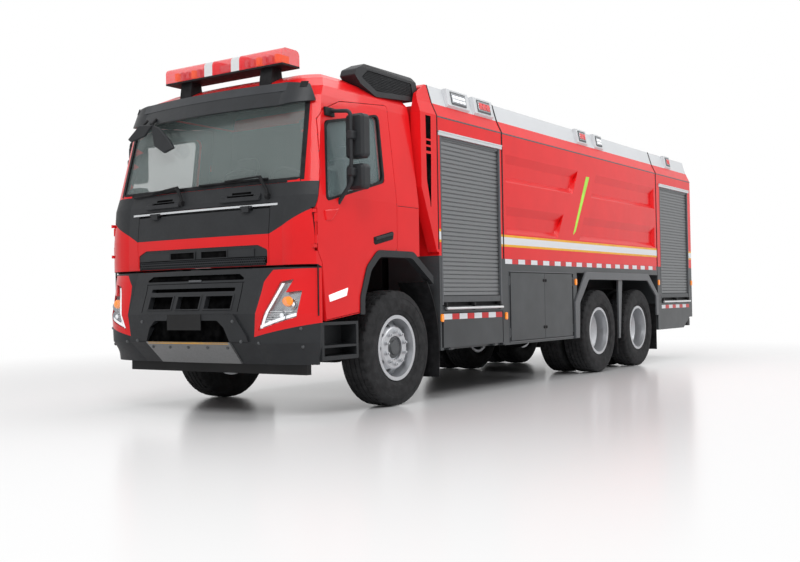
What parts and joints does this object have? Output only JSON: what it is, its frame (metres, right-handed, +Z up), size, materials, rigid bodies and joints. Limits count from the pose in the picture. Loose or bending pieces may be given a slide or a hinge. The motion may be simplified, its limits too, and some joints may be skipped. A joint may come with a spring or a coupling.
{
  "type": "airport fire truck",
  "caption": "Heavy water-tank fire truck: forward-control cab with light bar, shuttered equipment body, pressed tank sides, twin rear wheels, opening doors, lockers and roof monitor.",
  "frame": {"origin": "middle of the bounding box at road level", "axes": "the front faces -Y, +X is the truck's left side, +Z is up"},
  "size_m": [2.936, 9.855, 3.3353],
  "materials": {
    "red_paint": "gloss",
    "white_paint": "gloss",
    "grey_paint": "satin",
    "black_steel": "satin",
    "cast_metal": "rough",
    "dark_plastic": "matte",
    "cab_inside": "matte",
    "seat_cloth": "matte",
    "bright_metal": "satin",
    "wheel_silver": "satin",
    "tyre": "matte",
    "glass": "clear",
    "lamp_clear": "clear",
    "lamp_red": "clear"
  },
  "bodies": {
    "truck": {"frame": "black_steel", "engine": "cast_metal", "axles": "cast_metal", "leaf_springs": "black_steel", "bumper": "dark_plastic", "skid_plate": "bright_metal", "headlamp_covers": "red_paint", "headlamps": "lamp_clear", "cab_steps": "dark_plastic", "mudguards": "dark_plastic", "arch_trims": "dark_plastic", "cab_shell": "red_paint", "cab_roof": "red_paint", "cab_trim": "dark_plastic", "windscreen": "glass", "light_bar": "lamp_red", "air_intake": "dark_plastic", "dashboard": "cab_inside", "seats": "seat_cloth", "body_front": "red_paint", "body_tank": "red_paint", "body_rear": "red_paint", "roof_deck": "white_paint", "shutters": "bright_metal", "lower_body": "grey_paint", "lamps": "lamp_clear", "rear_bumper": "black_steel", "ladder": "bright_metal"},
    "front_lid": {"front_lid": "red_paint", "lid_panel": "dark_plastic"},
    "steering_wheel": {"steering_wheel": "cab_inside"},
    "monitor_swivel": {"monitor_swivel": "red_paint"},
    "monitor_barrel": {"monitor_barrel": "red_paint"},
    "knuckle_left": {"knuckle_left": "cast_metal"},
    "wheel_front_left": {"tyre_front_left": "tyre", "rim_front_left": "wheel_silver"},
    "door_left": {"door_left": "red_paint", "door_glass_left": "glass", "mirrors_left": "dark_plastic"},
    "flap_left": {"flap_left": "grey_paint"},
    "locker_front_left": {"locker_front_left": "grey_paint"},
    "locker_rear_left": {"locker_rear_left": "grey_paint"},
    "wheel_rear1_left": {"tyres_rear1_left": "tyre", "rims_rear1_left": "wheel_silver"},
    "wheel_rear2_left": {"tyres_rear2_left": "tyre", "rims_rear2_left": "wheel_silver"},
    "knuckle_right": {"knuckle_right": "cast_metal"},
    "wheel_front_right": {"tyre_front_right": "tyre", "rim_front_right": "wheel_silver"},
    "door_right": {"door_right": "red_paint", "door_glass_right": "glass", "mirrors_right": "dark_plastic"},
    "flap_right": {"flap_right": "grey_paint"},
    "locker_front_right": {"locker_front_right": "grey_paint"},
    "locker_rear_right": {"locker_rear_right": "grey_paint"},
    "wheel_rear1_right": {"tyres_rear1_right": "tyre", "rims_rear1_right": "wheel_silver"},
    "wheel_rear2_right": {"tyres_rear2_right": "tyre", "rims_rear2_right": "wheel_silver"}
  },
  "joints": [
    {"name": "steer_left", "type": "hinge", "parent": "truck", "child": "knuckle_left", "pos_m": [0.865, -3.3675, 0.538], "axis": [0, 0, 1], "range_deg": [-40, 40]},
    {"name": "spin_front_left", "type": "hinge", "parent": "knuckle_left", "child": "wheel_front_left", "pos_m": [1.045, -3.3675, 0.538], "axis": [1, 0, 0], "continuous": true},
    {"name": "spin_rear1_left", "type": "hinge", "parent": "truck", "child": "wheel_rear1_left", "pos_m": [0.905, 1.2325, 0.538], "axis": [1, 0, 0], "continuous": true},
    {"name": "spin_rear2_left", "type": "hinge", "parent": "truck", "child": "wheel_rear2_left", "pos_m": [0.905, 2.6025, 0.538], "axis": [1, 0, 0], "continuous": true},
    {"name": "open_door_left", "type": "hinge", "parent": "truck", "child": "door_left", "pos_m": [1.236, -4.6175, 1.61], "axis": [0, 0, -1], "range_deg": [0, 75]},
    {"name": "drop_flap_left", "type": "hinge", "parent": "truck", "child": "flap_left", "pos_m": [1.238, -2.0675, 0.489], "axis": [0, 1, 0], "range_deg": [0, 90]},
    {"name": "open_locker_front_left", "type": "hinge", "parent": "truck", "child": "locker_front_left", "pos_m": [1.238, -1.2675, 0.887], "axis": [0, 0, -1], "range_deg": [0, 100]},
    {"name": "open_locker_rear_left", "type": "hinge", "parent": "truck", "child": "locker_rear_left", "pos_m": [1.238, 0.3525, 0.887], "axis": [0, 0, 1], "range_deg": [0, 100]},
    {"name": "steer_right", "type": "hinge", "parent": "truck", "child": "knuckle_right", "pos_m": [-0.865, -3.3675, 0.538], "axis": [0, 0, 1], "range_deg": [-40, 40]},
    {"name": "spin_front_right", "type": "hinge", "parent": "knuckle_right", "child": "wheel_front_right", "pos_m": [-1.045, -3.3675, 0.538], "axis": [1, 0, 0], "continuous": true},
    {"name": "spin_rear1_right", "type": "hinge", "parent": "truck", "child": "wheel_rear1_right", "pos_m": [-0.905, 1.2325, 0.538], "axis": [1, 0, 0], "continuous": true},
    {"name": "spin_rear2_right", "type": "hinge", "parent": "truck", "child": "wheel_rear2_right", "pos_m": [-0.905, 2.6025, 0.538], "axis": [1, 0, 0], "continuous": true},
    {"name": "open_door_right", "type": "hinge", "parent": "truck", "child": "door_right", "pos_m": [-1.236, -4.6175, 1.61], "axis": [0, 0, 1], "range_deg": [0, 75]},
    {"name": "drop_flap_right", "type": "hinge", "parent": "truck", "child": "flap_right", "pos_m": [-1.238, -2.0675, 0.489], "axis": [0, -1, 0], "range_deg": [0, 90]},
    {"name": "open_locker_front_right", "type": "hinge", "parent": "truck", "child": "locker_front_right", "pos_m": [-1.238, -1.2675, 0.887], "axis": [0, 0, 1], "range_deg": [0, 100]},
    {"name": "open_locker_rear_right", "type": "hinge", "parent": "truck", "child": "locker_rear_right", "pos_m": [-1.238, 0.3525, 0.887], "axis": [0, 0, -1], "range_deg": [0, 100]},
    {"name": "lift_front_lid", "type": "hinge", "parent": "truck", "child": "front_lid", "pos_m": [0, -4.7275, 1.792], "axis": [-1, 0, 0], "range_deg": [0, 80]},
    {"name": "turn_steering_wheel", "type": "hinge", "parent": "truck", "child": "steering_wheel", "pos_m": [0.64, -4.2075, 1.985], "axis": [0, 0.6783, 0.7348], "range_deg": [-720, 720]},
    {"name": "swing_monitor", "type": "hinge", "parent": "truck", "child": "monitor_swivel", "pos_m": [0, -0.6125, 3.0953], "axis": [0, 0, 1], "range_deg": [-170, 170]},
    {"name": "raise_monitor", "type": "hinge", "parent": "monitor_swivel", "child": "monitor_barrel", "pos_m": [0, -0.6125, 3.2803], "axis": [1, 0, 0], "range_deg": [-10, 70]}
  ],
  "couplings": [
    {"joint": "steer_right", "follows": "steer_left", "ratio": 1},
    {"joint": "turn_steering_wheel", "follows": "steer_left", "ratio": 18}
  ]
}
